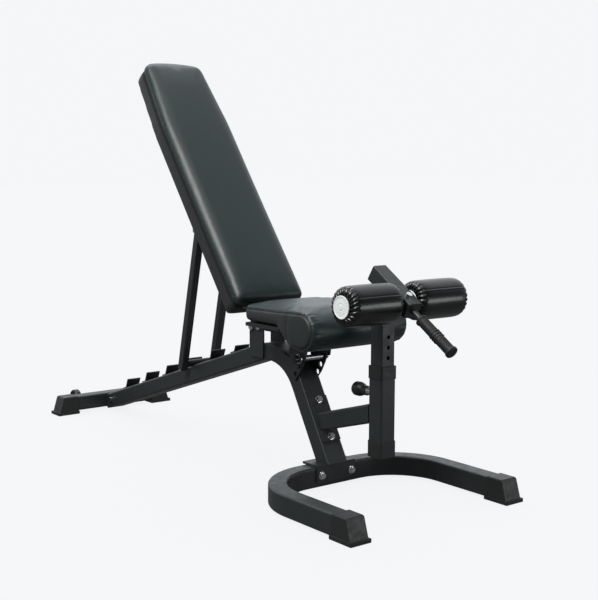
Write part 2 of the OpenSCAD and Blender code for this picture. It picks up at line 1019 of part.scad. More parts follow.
module seat_pin() {
  reach = spine_x + plate_t + 5.5;
  color(chrome)
    translate([0, pin_y, pin_z]) {
      rod_x(-reach - 12, reach + 4, pin_d / 2);
      rod_x(-reach - 5, -reach - gap, 14);
    }
}

module seat_pin_knob() {
  reach = spine_x + plate_t + 5.5;
  color(moulded)
    translate([0, pin_y, pin_z])
      difference() {
        rod_x(-reach - 20, -reach - 5, 10.5);
        rod_x(-reach - 12, -reach - 4, pin_d / 2);
      }
}

module inner_post() {
  color(steel)
    difference() {
      translate([0, post_y, inner_low_z])
        linear_extrude(height = far)
          tube_profile(inner_post_w, inner_post_w, corner_r - 3, wall);
      at_arm()
        translate([-far, -inner_post_w / 2 - tiny, -far])
          cube([2 * far, 2 * far, 2 * far]);
      for (i = [0 : 5])
        translate([0, post_y, pop_z + 15.5 + i * hole_pitch])
          rotate([90, 0, 0])
            cylinder(r = 5.2, h = 2 * inner_post_w, center = true, $fn = 32);
    }
}

module roller_arm() {
  color(steel)
    difference() {
      at_arm()
        translate([0, 0, -arm_rear])
          linear_extrude(height = arm_rear + arm_front)
            tube_profile(inner_post_w, inner_post_w, corner_r - 2, wall);
      translate([0, axle_y, axle_z])
        rod_x(-far, far, axle_d / 2);
      at_arm()
        translate([0, 0, arm_front - 30])
          rotate([-90, 0, 0])
            cylinder(r = m10_r + bolt_clear, h = inner_post_w);
    }
}

module arm_plug() {
  color(moulded)
    at_arm()
      translate([0, 0, -arm_rear - 3])
        linear_extrude(height = 3)
          solid_profile(inner_post_w, inner_post_w, corner_r - 2);
}

module arm_bolt() {
  color(chrome)
    at_arm()
      translate([0, inner_post_w / 2, arm_front - 30])
        rotate([-90, 0, 0]) {
          cylinder(r = m10_head, h = m10_head_h, $fn = 6);
          translate([0, 0, -12])
            cylinder(r = m10_r, h = 12);
        }
}

module roller_axle() {
  reach = roller_end - 4;
  color(chrome)
    translate([0, axle_y, axle_z])
      rod_x(-reach, reach, axle_d / 2);
}

module grip_rod() {
  color(steel)
    at_arm() {
      translate([0, 0, arm_front])
        linear_extrude(height = 3)
          solid_profile(inner_post_w, inner_post_w, corner_r - 2);
      translate([0, 0, arm_front + 3])
        cylinder(r = 8, h = grip_end - arm_front - 9);
    }
}

module grip_sleeve() {
  flange_r = 16.5;
  first = 56;
  step = 9;
  color(moulded)
    at_arm()
      difference() {
        union() {
          translate([0, 0, grip_start])
            cylinder(r = grip_r, h = grip_end - grip_start);
          translate([0, 0, grip_start])
            cylinder(r = grip_r + 2, h = 6);
          for (i = [0 : 2])
            translate([0, 0, grip_start + first + i * step])
              cylinder(r = grip_r + 1.5, h = 4);
          translate([0, 0, grip_end - 8])
            cylinder(r = flange_r, h = 8);
        }
        translate([0, 0, grip_start - 1])
          cylinder(r = 8, h = grip_end - grip_start - 5);
      }
}

module roller_sleeve(side) {
  color(hide)
    translate([0, axle_y, axle_z])
      difference() {
        rod_x(side > 0 ? roller_in + 3 : 2 - roller_end,
          side > 0 ? roller_end - 2 : -roller_in - 3, roller_r);
        rod_x(-far, far, core_r);
      }
}

module roller_hub(side) {
  color(pale)
    translate([0, axle_y, axle_z])
      rotate([0, side * 90, 0])
        difference() {
          union() {
            translate([0, 0, roller_in])
              cylinder(r = core_r, h = roller_end - roller_in);
            translate([0, 0, roller_in])
              cylinder(r = hub_r, h = 3);
            translate([0, 0, roller_end - 2])
              cylinder(r = hub_r, h = hub_t);
          }
          translate([0, 0, roller_in - 1])
            cylinder(r = axle_d / 2 + run_clear, h = roller_end - roller_in - 2);
        }
}

module roller_left_sleeve() {
  roller_sleeve(1);
}

module roller_left_hub() {
  roller_hub(1);
}

module roller_right_sleeve() {
  roller_sleeve(-1);
}

module roller_right_hub() {
  roller_hub(-1);
}

spine_tube();
front_base_tube();
front_foot_left();
front_foot_right();
rear_stabiliser();
rear_foot_left();
rear_foot_right();
leg_saddle();
saddle_bolts();
ladder_catches();
pivot_plates();
sector_plates();
cross_bar();
flange_bolts();
outer_post();
post_collar();
post_bottom_cap();
pop_barrel();
pop_plunger();
pop_knob();
rear_cross_bolt();
wheel_brackets();
wheel_axles();
wheel_left();
wheel_right();
seat_pivot_bolt();
back_pivot_bolt();
back_frame();
back_board();
back_cushion();
back_screws();
strut_frame();
strut_plugs();
strut_pivot_bolt();
seat_frame();
seat_board();
seat_cushion();
seat_screws();
seat_pin();
seat_pin_knob();
inner_post();
roller_arm();
arm_plug();
arm_bolt();
roller_axle();
grip_rod();
grip_sleeve();
roller_left_sleeve();
roller_left_hub();
roller_right_sleeve();
roller_right_hub();
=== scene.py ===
"""Looks of a decline sit up bench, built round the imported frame. Metres, row frame, +Z up."""
import json
import math

import bmesh
import bpy
import numpy as np
from mathutils import Matrix, Vector
from mathutils.bvhtree import BVHTree


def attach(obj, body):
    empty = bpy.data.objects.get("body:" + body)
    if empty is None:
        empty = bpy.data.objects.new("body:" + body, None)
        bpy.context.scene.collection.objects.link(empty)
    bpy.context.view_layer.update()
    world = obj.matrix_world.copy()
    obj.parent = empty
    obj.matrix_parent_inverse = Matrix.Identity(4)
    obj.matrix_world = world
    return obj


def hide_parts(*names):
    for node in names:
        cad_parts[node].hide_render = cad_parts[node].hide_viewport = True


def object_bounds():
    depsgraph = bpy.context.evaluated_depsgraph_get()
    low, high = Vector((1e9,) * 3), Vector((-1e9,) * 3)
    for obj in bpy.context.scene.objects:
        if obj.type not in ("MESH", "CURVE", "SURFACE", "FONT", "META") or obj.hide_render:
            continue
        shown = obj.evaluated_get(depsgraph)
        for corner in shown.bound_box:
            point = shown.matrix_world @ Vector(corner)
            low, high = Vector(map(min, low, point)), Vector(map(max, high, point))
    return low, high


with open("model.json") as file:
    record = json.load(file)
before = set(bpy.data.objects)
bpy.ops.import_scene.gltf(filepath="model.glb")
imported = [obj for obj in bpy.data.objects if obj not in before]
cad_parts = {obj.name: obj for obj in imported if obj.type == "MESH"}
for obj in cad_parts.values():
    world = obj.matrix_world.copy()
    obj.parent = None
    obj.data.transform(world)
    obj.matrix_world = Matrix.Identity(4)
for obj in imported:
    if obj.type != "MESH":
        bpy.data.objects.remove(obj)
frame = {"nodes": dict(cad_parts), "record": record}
cad_lo, cad_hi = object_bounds()
nodes = frame["nodes"]
scene = bpy.context.scene
scene.view_settings.view_transform = "Standard"

# ---------------------------------------------------------------- local frames of the design
BACK_ANGLE = math.radians(52.7)
BACK_PIVOT = np.array([0.0, -0.124, 0.405])
SEAT_RISE = math.radians(2.0)
SEAT_PIVOT = np.array([0.0, -0.160, 0.409])
ARM_FALL = math.radians(32.5)
ARM_AT = np.array([0.0, -0.641, 0.581])
AXLE = np.array([0.0, -0.709, 0.530])


def back_to_row(p):
    """(x, v, s): across, out of the pad's face, up along the pad."""
    ca, sa = math.cos(BACK_ANGLE), math.sin(BACK_ANGLE)
    x, v, s = p[:, 0], p[:, 1], p[:, 2]
    return np.stack([x, -v * sa + s * ca, v * ca + s * sa], 1) + BACK_PIVOT


def seat_to_row(p):
    """(x, v, u): across, up out of the seat, forward along the seat."""
    ca, sa = math.cos(SEAT_RISE), math.sin(SEAT_RISE)
    x, v, u = p[:, 0], p[:, 1], p[:, 2]
    return np.stack([x, v * sa - u * ca, v * ca + u * sa], 1) + SEAT_PIVOT


def arm_to_row(p):
    """(x, v, t): across, up out of the arm, down along the arm."""
    ca, sa = math.cos(ARM_FALL), math.sin(ARM_FALL)
    x, v, t = p[:, 0], p[:, 1], p[:, 2]
    return np.stack([x, -v * sa - t * ca, v * ca - t * sa], 1) + ARM_AT


# ---------------------------------------------------------------- materials
class Mat:
    """A node material with short ways to add textures."""

    def __init__(self, name, rough, metallic=0.0, **sockets):
        self.m = bpy.data.materials.new(name)
        self.m.use_nodes = True
        self.t = self.m.node_tree
        self.b = self.t.nodes["Principled BSDF"]
        self.b.inputs["Roughness"].default_value = rough
        self.b.inputs["Metallic"].default_value = metallic
        for key, value in sockets.items():
            self.b.inputs[key.replace("_", " ")].default_value = value
        self.co = self.t.nodes.new("ShaderNodeTexCoord").outputs["Object"]
        self.normal = None

    def add(self, kind, **values):
        n = self.t.nodes.new(kind)
        for key, value in values.items():
            if hasattr(n, key):
                setattr(n, key, value)
            else:
                n.inputs[key.replace("_", " ")].default_value = value
        return n

    def link(self, a, b):
        self.t.links.new(a, b)

    def scaled(self, factors):
        n = self.add("ShaderNodeMapping")
        n.inputs["Scale"].default_value = factors
        self.link(self.co, n.inputs["Vector"])
        return n.outputs["Vector"]

    def noise(self, scale, detail=3.0, rough=0.5, at=None):
        n = self.add("ShaderNodeTexNoise")
        n.inputs["Scale"].default_value = scale
        n.inputs["Detail"].default_value = detail
        n.inputs["Roughness"].default_value = rough
        self.link(at or self.co, n.inputs["Vector"])
        return n.outputs["Fac"]

    def ramp(self, value, low, high, a, b):
        """value from low..high mapped smoothly to a..b."""
        n = self.add("ShaderNodeMapRange")
        n.interpolation_type = "SMOOTHSTEP"
        for key, x in (("From Min", low), ("From Max", high), ("To Min", a), ("To Max", b)):
            n.inputs[key].default_value = x
        self.link(value, n.inputs["Value"])
        return n.outputs["Result"]

    def mix(self, fac, a, b):
        n = self.add("ShaderNodeMix", data_type="RGBA")
        self.link(fac, n.inputs["Factor"])
        for slot, x in (("A", a), ("B", b)):
            s = [i for i in n.inputs if i.name == slot and i.type == "RGBA"][0]
            if isinstance(x, (tuple, list)):
                s.default_value = (*x, 1.0)
            else:
                self.link(x, s)
        return [o for o in n.outputs if o.type == "RGBA"][0]

    def colour(self, out):
        self.link(out, self.b.inputs["Base Color"])

    def rough(self, out):
        self.link(out, self.b.inputs["Roughness"])

    def edges(self, radius):
        n = self.add("ShaderNodeBevel", samples=4)
        n.inputs["Radius"].default_value = radius
        self.normal = n.outputs["Normal"]
        self.link(self.normal, self.b.inputs["Normal"])

    def bump(self, height, strength, distance):
        n = self.add("ShaderNodeBump")
        n.inputs["Strength"].default_value = strength
        n.inputs["Distance"].default_value = distance
        self.link(height, n.inputs["Height"])
        if self.normal is not None:
            self.link(self.normal, n.inputs["Normal"])
        self.normal = n.outputs["Normal"]
        self.link(self.normal, self.b.inputs["Normal"])


def powder_coat():
    m = Mat("powder_coat_black", 0.42, Specular_IOR_Level=0.5)
    cloud = m.noise(9.0, 4.0, 0.6)
    m.colour(m.mix(cloud, (0.0135, 0.0165, 0.0172), (0.0200, 0.0238, 0.0248)))
    peel = m.noise(620.0, 2.0, 0.5)
    m.rough(m.ramp(m.noise(45.0, 5.0, 0.65), 0.3, 0.7, 0.36, 0.50))
    m.edges(0.0012)
    m.bump(peel, 0.16, 0.0004)
    m.bump(m.noise(2600.0, 2.0), 0.10, 0.0001)
    return m.m


def hide_material(name, dark, light, rough_low, rough_high, grain, depth, coat=0.0):
    m = Mat(name, rough_high, Specular_IOR_Level=0.5)
    if coat:
        m.b.inputs["Coat Weight"].default_value = coat
        m.b.inputs["Coat Roughness"].default_value = 0.12
    cloud = m.noise(5.0, 4.0, 0.6)
    cell = m.add("ShaderNodeTexVoronoi", feature="DISTANCE_TO_EDGE")
    cell.inputs["Scale"].default_value = grain
    warp = m.add("ShaderNodeMixRGB", blend_type="ADD")
    warp.inputs["Fac"].default_value = 0.0016
    n = m.add("ShaderNodeTexNoise")
    n.inputs["Scale"].default_value = grain * 0.6
    m.link(m.co, n.inputs["Vector"])
    m.link(m.co, warp.inputs["Color1"])
    m.link(n.outputs["Color"], warp.inputs["Color2"])
    m.link(warp.outputs["Color"], cell.inputs["Vector"])
    pebble = m.ramp(cell.outputs["Distance"], 0.0, 0.32, 0.0, 1.0)
    base = m.mix(cloud, dark, light)
    # painted shade: the grain's grooves, where the bump's creases lie, are darkened to 0.72 of the
    # dark tone
    crease_shade = m.mix(pebble, tuple(0.72 * c for c in dark), base)
    m.colour(crease_shade)
    m.rough(m.ramp(m.noise(26.0, 6.0, 0.7), 0.25, 0.75, rough_low, rough_high))
    m.bump(pebble, depth, 0.00022)
    m.bump(m.noise(grain * 3.1, 3.0, 0.6), depth * 0.6, 0.00010)
    m.bump(m.noise(34.0, 3.0, 0.5), 0.17 * depth, 0.0012)
    return m.m


def plastic(name, dark, light, rough, grain=1400.0, depth=0.22, edge=0.0009):
    m = Mat(name, rough, Specular_IOR_Level=0.45)
    m.colour(m.mix(m.noise(18.0, 4.0, 0.6), dark, light))
    m.rough(m.ramp(m.noise(70.0, 4.0, 0.6), 0.3, 0.7, rough - 0.06, rough + 0.08))
    m.edges(edge)
    m.bump(m.noise(grain, 2.0, 0.55), depth, 0.00018)
    return m.m


def plated(name, tint, rough, turned=(1.0, 1.0, 1.0)):
    m = Mat(name, rough, 1.0)
    m.colour(m.mix(m.noise(60.0, 3.0), tuple(0.86 * c for c in tint), tint))
    fine = m.noise(900.0, 3.0, 0.6, m.scaled(turned))
    m.rough(m.ramp(fine, 0.3, 0.7, rough * 0.75, rough * 1.5))
    m.edges(0.0006)
    m.bump(fine, 0.05, 0.00005)
    return m.m


COAT = powder_coat()
PAD = hide_material("pad_leatherette", (0.0160, 0.0280, 0.0284), (0.0200, 0.0340, 0.0340),
                    0.34, 0.42, 820.0, 0.24)
# painted shade: a darker, greyer copy of the pad leatherette, laid on the side panels of the back
# and seat pads
PAD_SIDE_SHADE = hide_material("pad_leatherette_side_painted_shade", (0.0150, 0.0180, 0.0190),
                         (0.0200, 0.0240, 0.0250), 0.42, 0.54, 820.0, 0.34)
VINYL = hide_material("roller_vinyl", (0.0026, 0.0029, 0.0031), (0.0038, 0.0042, 0.0044),
                      0.25, 0.31, 900.0, 0.02, coat=0.15)
# a black gusset band that also paints the shade of a recessed seam on a flat side; the back pad's
# piping and front stitching wear it too, painted dark so they catch no light
BLACK_BAND_AND_SHADE = hide_material("gusset_black_and_painted_shade", (0.0030, 0.0034, 0.0035), (0.0050, 0.0056, 0.0057),
                       0.80, 0.90, 1500.0, 0.3)
PIPING = hide_material("piping_vinyl", (0.0060, 0.0070, 0.0072), (0.0090, 0.0105, 0.0106),
                       0.34, 0.44, 1500.0, 0.2)
CAP = plastic("moulded_black_plastic", (0.0120, 0.0124, 0.0130), (0.0170, 0.0175, 0.0182), 0.46)
KNOB = plastic("knob_black_plastic", (0.0080, 0.0082, 0.0086), (0.0120, 0.0122, 0.0128), 0.34)
RUBBER = plastic("grip_rubber_black", (0.0085, 0.0087, 0.0090), (0.0125, 0.0128, 0.0130), 0.58,
                 900.0, 0.35, 0.0006)
DISC = plastic("end_disc_grey", (0.70, 0.73, 0.73), (0.78, 0.81, 0.81), 0.36, 1100.0, 0.12)
CHROME = plated("plated_bright", (0.80, 0.81, 0.83), 0.16)
SATIN = plated("plated_satin", (0.46, 0.47, 0.49), 0.30, (0.2, 3.0, 3.0))
THREAD = plastic("thread_black", (0.020, 0.022, 0.022), (0.030, 0.033, 0.033), 0.62, 3200.0, 0.4)


def board_material():
    m = Mat("board_underside", 0.8, Specular_IOR_Level=0.25)
    fibre = m.noise(1100.0, 4.0, 0.7, m.scaled((1.0, 0.16, 0.16)))
    cross = m.noise(1100.0, 4.0, 0.7, m.scaled((0.16, 1.0, 1.0)))
    both = m.mix(m.noise(300.0, 2.0), fibre, cross)
    m.colour(m.mix(both, (0.010, 0.011, 0.012), (0.026, 0.028, 0.029)))
    m.bump(both, 0.5, 0.0003)
    return m.m


BOARD = board_material()


# ---------------------------------------------------------------- mesh helpers
def new_object(name, verts, faces, material, smooth=True):
    me = bpy.data.meshes.new(name)
    me.from_pydata([tuple(map(float, v)) for v in verts], [], [tuple(f) for f in faces])
    me.update()
    ob = bpy.data.objects.new(name, me)
    scene.collection.objects.link(ob)
    if smooth:
        me.polygons.foreach_set("use_smooth", [True] * len(me.polygons))
    if material is not None:
        me.materials.append(material)
    return ob


def tidy(ob):
    """One closed skin with faces turned outwards."""
    bm = bmesh.new()
    bm.from_mesh(ob.data)
    bmesh.ops.remove_doubles(bm, verts=bm.verts, dist=1e-6)
    bmesh.ops.recalc_face_normals(bm, faces=bm.faces)
    bm.to_mesh(ob.data)
    bm.free()
    ob.data.update()


def get_co(me):
    co = np.zeros(len(me.vertices) * 3)
    me.vertices.foreach_get("co", co)
    return co.reshape(-1, 3)


def set_co(me, co):
    me.vertices.foreach_set("co", np.asarray(co, np.float32).ravel())
    me.update()


def get_edges(me):
    e = np.zeros(len(me.edges) * 2, np.int64)
    me.edges.foreach_get("vertices", e)
    return e.reshape(-1, 2)


def relax(co, edges, weight, rounds):
    """Moves points towards the middle of their neighbours, more where weight is high."""
    count = np.zeros(len(co))
    np.add.at(count, edges[:, 0], 1)
    np.add.at(count, edges[:, 1], 1)
    w = (0.5 * weight)[:, None]
    for _ in range(rounds):
        total = np.zeros_like(co)
        np.add.at(total, edges[:, 0], co[edges[:, 1]])
        np.add.at(total, edges[:, 1], co[edges[:, 0]])
        co = co + w * (total / count[:, None] - co)
    return co


def step(x, a, b):
    t = np.clip((x - a) / (b - a), 0, 1)
    return t * t * (3 - 2 * t)


def apply_modifier(ob, kind, **values):
    mod = ob.modifiers.new(kind.title(), kind)
    for key, value in values.items():
        setattr(mod, key, value)
    with bpy.context.temp_override(object=ob, active_object=ob, selected_objects=[ob]):
        bpy.ops.object.modifier_apply(modifier=mod.name)


def lathe(profile, count, warp=None):
    """Closed profile of (along, radius) swept round.

    warp(along, radius, angle) may move a point.
    """
    prof = np.array(profile, float)
    ang = np.arange(count) * 2 * math.pi / count
    a = np.repeat(prof[:, 0][:, None], count, 1)
    r = np.repeat(prof[:, 1][:, None], count, 1)
    th = np.repeat(ang[None, :], len(prof), 0)
    if warp is not None:
        a, r = warp(a, r, th)
    pts = np.stack([a, r * np.cos(th), r * np.sin(th)], 2).reshape(-1, 3)
    faces = []
    n = len(prof)
    for i in range(n):
        j = (i + 1) % n
        for k in range(count):
            l = (k + 1) % count
            faces.append((i * count + k, i * count + l, j * count + l, j * count + k))
    return pts, faces


def smooth_line(points, per):
    """A Catmull-Rom curve through points, per samples a span, ends kept."""
    p = np.array(points, float)
    p = np.vstack([2 * p[0] - p[1], p, 2 * p[-1] - p[-2]])
    out = []
    for i in range(1, len(p) - 2):
        for t in np.linspace(0, 1, per, endpoint=False):
            a, b, c, d = p[i - 1], p[i], p[i + 1], p[i + 2]
            out.append(0.5 * (2 * b + (c - a) * t + (2 * a - 5 * b + 4 * c - d) * t * t
                              + (3 * b - a - 3 * c + d) * t ** 3))
    out.append(p[-2])
    return np.array(out)


def tube_along(path, radius, sides, closed):
    """A round cord's verts and faces along path."""
    p = np.asarray(path, float)
    n = len(p)
    if closed:
        tan = np.roll(p, -1, 0) - np.roll(p, 1, 0)
    else:
        tan = np.gradient(p, axis=0)
    tan /= np.linalg.norm(tan, axis=1)[:, None]
    ref = Vector(tan[0]).orthogonal().normalized()
    verts, faces = [], []
    prev = Vector(tan[0])
    for i in range(n):
        t = Vector(tan[i])
        ref = prev.rotation_difference(t) @ ref
        ref = (ref - t * ref.dot(t)).normalized()
        side = t.cross(ref)
        prev = t
        for k in range(sides):
            a = 2 * math.pi * k / sides
            verts.append(Vector(p[i]) + radius * (math.cos(a) * ref + math.sin(a) * side))
    last = n if closed else n - 1
    if closed:  # the twist left over at the join picks which point meets which
        first = verts[0]
        ring = verts[(n - 1) * sides:]
        shift = min(range(sides), key=lambda k: (ring[k] - first).length)
    for i in range(last):
        j = (i + 1) % n
        off = (-shift) % sides if closed and j == 0 else 0
        for k in range(sides):
            l = (k + 1) % sides
            faces.append((i * sides + k, i * sides + l, j * sides + (l + off) % sides,
                          j * sides + (k + off) % sides))
    if not closed:
        faces.append(tuple(range(sides))[::-1])
        faces.append(tuple((n - 1) * sides + k for k in range(sides)))
    return verts, faces


def stitches(path, normals, pitch, length, radius):
    """Short thread loops laid along path, each a flat lozenge standing a little proud."""
    p = np.asarray(path, float)
    nn = np.asarray(normals, float)
    seg = np.linalg.norm(np.diff(p, axis=0), axis=1)
    at = np.concatenate([[0], np.cumsum(seg)])
    verts, faces = [], []
    for d in np.arange(pitch / 2, at[-1], pitch):
        c = np.array([np.interp(d, at, p[:, k]) for k in range(3)])
        e = np.array([np.interp(min(d + 1e-3, at[-1]), at, p[:, k]) for k in range(3)])
        up = np.array([np.interp(d, at, nn[:, k]) for k in range(3)])
        up /= np.linalg.norm(up)
        t = e - c
        if np.linalg.norm(t) < 1e-9:
            continue
        t /= np.linalg.norm(t)
        s = np.cross(up, t)
        base = len(verts)
        for q in (-1.0, -0.55, 0.55, 1.0):
            rr = radius * (0.35 if abs(q) == 1 else 1.0)
            lift = -0.4 * radius if abs(q) == 1 else 0.35 * radius
            for k in range(6):
                a = math.pi * k / 3
                verts.append(c + t * q * length / 2 + up * lift
                             + rr * (math.cos(a) * s + math.sin(a) * up))
        for i in range(3):
            for k in range(6):
                l = (k + 1) % 6
                faces.append((base + i * 6 + k, base + i * 6 + l,
                              base + (i + 1) * 6 + l, base + (i + 1) * 6 + k))
        faces.append(tuple(base + k for k in range(6))[::-1])
        faces.append(tuple(base + 18 + k for k in range(6)))
    return verts, faces


CLOTH_FRAMES = 20


def soft_block(name, verts, faces, voxel, shape, pinned, cap, groove, force=4.0):
    """A stuffed cover: remeshed, rounded and crowned by shape, then blown up as cloth that is
    held where pinned says, and last pulled in along its seams by groove. Local coordinates."""
    ob = new_object(name, verts, faces, None)
    tidy(ob)
    apply_modifier(ob, "REMESH", mode="VOXEL", voxel_size=voxel, adaptivity=0.0)
    me = ob.data
    edges = get_edges(me)
    co = shape(get_co(me), edges)
    set_co(me, co)
    hold = pinned(co)
    group = ob.vertex_groups.new(name="hold")
    for level in (0.25, 0.5, 0.75, 1.0):
        ids = np.nonzero(np.abs(hold - level) <= 0.125)[0]
        if len(ids):
            group.add([int(i) for i in ids], level, "REPLACE")
    mod = ob.modifiers.new("Cloth", "CLOTH")
    c = mod.settings
    c.quality = 4
    c.mass = 0.3
    c.tension_stiffness = 25
    c.compression_stiffness = 25
    c.shear_stiffness = 10
    c.bending_stiffness = 1.5
    c.use_pressure = True
    c.uniform_pressure_force = force
    c.effector_weights.gravity = 0.0
    c.vertex_group_mass = "hold"
    mod.collision_settings.use_collision = False
    mod.point_cache.frame_start = 1
    mod.point_cache.frame_end = CLOTH_FRAMES
    for f in range(1, CLOTH_FRAMES + 1):
        scene.frame_set(f)
    dg = bpy.context.evaluated_depsgraph_get()
    blown = get_co(ob.evaluated_get(dg).data)
    ob.modifiers.remove(mod)
    scene.frame_set(1)
    move = blown - co
    size = np.linalg.norm(move, axis=1)
    keep = cap * np.tanh(size / cap) / np.maximum(size, 1e-9)
    move = move * keep[:, None]
    move = relax(move, edges, np.ones(len(co)), 3)
    print("cloth", name, "points", len(co), "largest move mm", round(1000 * size.max(), 2),
          "kept", round(1000 * np.linalg.norm(move, axis=1).max(), 2))
    co = co + move
    set_co(me, co)
    apply_modifier(ob, "SUBSURF", levels=1, render_levels=1)
    me = ob.data
    me.update()
    nor = np.zeros(len(me.vertices) * 3)
    me.vertices.foreach_get("normal", nor)
    co = get_co(me)
    co = groove(co, nor.reshape(-1, 3))
    set_co(me, co)
    me.polygons.foreach_set("use_smooth", [True] * len(me.polygons))
    return ob


def tree_of(ob):
    return BVHTree.FromObject(ob, bpy.context.evaluated_depsgraph_get())


def on_surface(tree, points, normals):
    """The points where lines along -normals first meet the skin, with its normals."""
    hits, ups = [], []
    for p, n in zip(points, normals):
        d = -Vector(n).normalized()
        hit, nor, _, _ = tree.ray_cast(Vector(p) - d * 0.03, d, 0.08)
        if hit is None:
            hit, nor = Vector(p), -d
        hits.append(tuple(hit))
        ups.append(tuple(nor))
    return np.array(hits), np.array(ups)


# ---------------------------------------------------------------- back pad
BACK_LOW, BACK_TOP = 0.040, 0.9245
BACK_W, HEAD_W, TAPER = 0.1195, 0.1045, 0.682
SEAM_V, FRONT_V = 0.0495, 0.0925
BACK_VOXEL, BACK_CAP, BACK_FORCE = 0.005, 0.0026, 0.5


def back_outline(inset, low_r=0.016, top_r=0.026, spacing=0.006):
    """Points (x, s) round the pad with rounded corners, then stood in by inset."""
    w, h = BACK_W - inset, HEAD_W - inset
    lo, hi = BACK_LOW + inset, BACK_TOP - inset
    low_r, top_r = max(low_r - inset, 0.004), max(top_r - inset, 0.004)
    pts = []

    def arc(cx, cy, r, a0, a1, n):
        for a in np.linspace(math.radians(a0), math.radians(a1), n):
            pts.append((cx + r * math.cos(a), cy + r * math.sin(a)))

    arc(w - low_r, lo + low_r, low_r, -90, 0, 8)
    pts.append((w, TAPER - 0.08))
    for t in np.linspace(0, 1, 7):
        pts.append((w + (h - w) * t * t * 0.27, TAPER - 0.03 + 0.09 * t))
    arc(h - top_r, hi - top_r, top_r, 4, 90, 10)
    right = pts[:]
    left = [(-x, s) for x, s in right[::-1]]
    return spaced_loop(right + left, spacing)


def spaced_loop(points, spacing):
    """A closed 2-D outline as even steps of about spacing."""
    loop = np.array(points)
    closed = np.vstack([loop, loop[:1]])
    seg = np.linalg.norm(np.diff(closed, axis=0), axis=1)
    at = np.concatenate([[0], np.cumsum(seg)])
    n = int(at[-1] / spacing)
    d = np.linspace(0, at[-1], n, endpoint=False)
    return np.stack([np.interp(d, at, closed[:, 0]), np.interp(d, at, closed[:, 1])], 1)


def ring_of(loop, n):
    """The same closed outline as exactly n points, so that rings can be joined."""
    idx = np.linspace(0, len(loop), n, endpoint=False)
    k = np.arange(len(loop) + 1)
    c = np.vstack([loop, loop[:1]])
    return np.stack([np.interp(idx, k, c[:, 0]), np.interp(idx, k, c[:, 1])], 1)


def stack(rings, to3):
    """A closed skin through rings of equal count."""
    verts, faces = [], []
    n = len(rings[0][1])
    for v, ring in rings:
        verts += [to3(v, q) for q in ring]
    for i in range(len(rings) - 1):
        for k in range(n):
            l = (k + 1) % n
            faces.append((i * n + k, i * n + l, (i + 1) * n + l, (i + 1) * n + k))
    faces.append(tuple(range(n))[::-1])
    faces.append(tuple((len(rings) - 1) * n + k for k in range(n)))
    return verts, faces


def half_width(s):
    return BACK_W + (HEAD_W - BACK_W) * np.clip((s - TAPER) / (BACK_TOP - 0.03 - TAPER), 0, 1)


def back_shape(co, edges):
    v = co[:, 1]
    front = step(v, SEAM_V + 0.012, FRONT_V - 0.012)
    co = relax(co, edges, 0.12 + 0.70 * front, 5)
    v = co[:, 1]
    x, s = co[:, 0], co[:, 2]
    w = half_width(s)
    across = np.clip(1 - (x / w) ** 2, 0, 1)
    along = np.clip((s - BACK_LOW) / 0.10, 0, 1) * np.clip((BACK_TOP - s) / 0.10, 0, 1)
    face = step(v, FRONT_V - 0.018, FRONT_V - 0.004)
    co[:, 1] += face * 0.0045 * across ** 0.8 * step(along, 0, 1)
    co[:, 2] += 0.0085 * np.clip((s - 0.86) / 0.06, 0, 1) * across
    return co


def back_pinned(co):
    v = co[:, 1]
    hold = np.zeros(len(co))
    hold[v < 0.013] = 1.0
    hold[np.abs(v - SEAM_V) < 0.0035] = 1.0
    return hold


def back_groove(co, nor):
    v = co[:, 1]
    side = 1 - step(v, FRONT_V - 0.012, FRONT_V - 0.002)
    side *= step(v, 0.012, 0.02)
    pinch = np.exp(-((v - SEAM_V - 0.001) / 0.0030) ** 2)
    soft = np.exp(-((v - SEAM_V - 0.020) / 0.006) ** 2)
    phase = co[:, 2] + co[:, 0] * 0.9
    wave = np.sin(phase * 2 * math.pi / 0.021) + 0.6 * np.sin(
        phase * 2 * math.pi / 0.0133 + 1.3)
    depth = 0.0012 * pinch + soft * 0.00020 * wave
    co = co - nor * (depth * side)[:, None]
    # shallow ripples of a stretched cover near the pad's ends
    s, x = co[:, 2], co[:, 0]
    end = np.exp(-((s - BACK_LOW) / 0.05) ** 2) + np.exp(-((BACK_TOP - s) / 0.05) ** 2)
    face = step(v, FRONT_V - 0.006, FRONT_V)
    ripple = np.sin(x * 2 * math.pi / 0.047 + 0.6 * np.sin(s * 40)) * 0.00028
    co[:, 1] += face * end * ripple
    return co


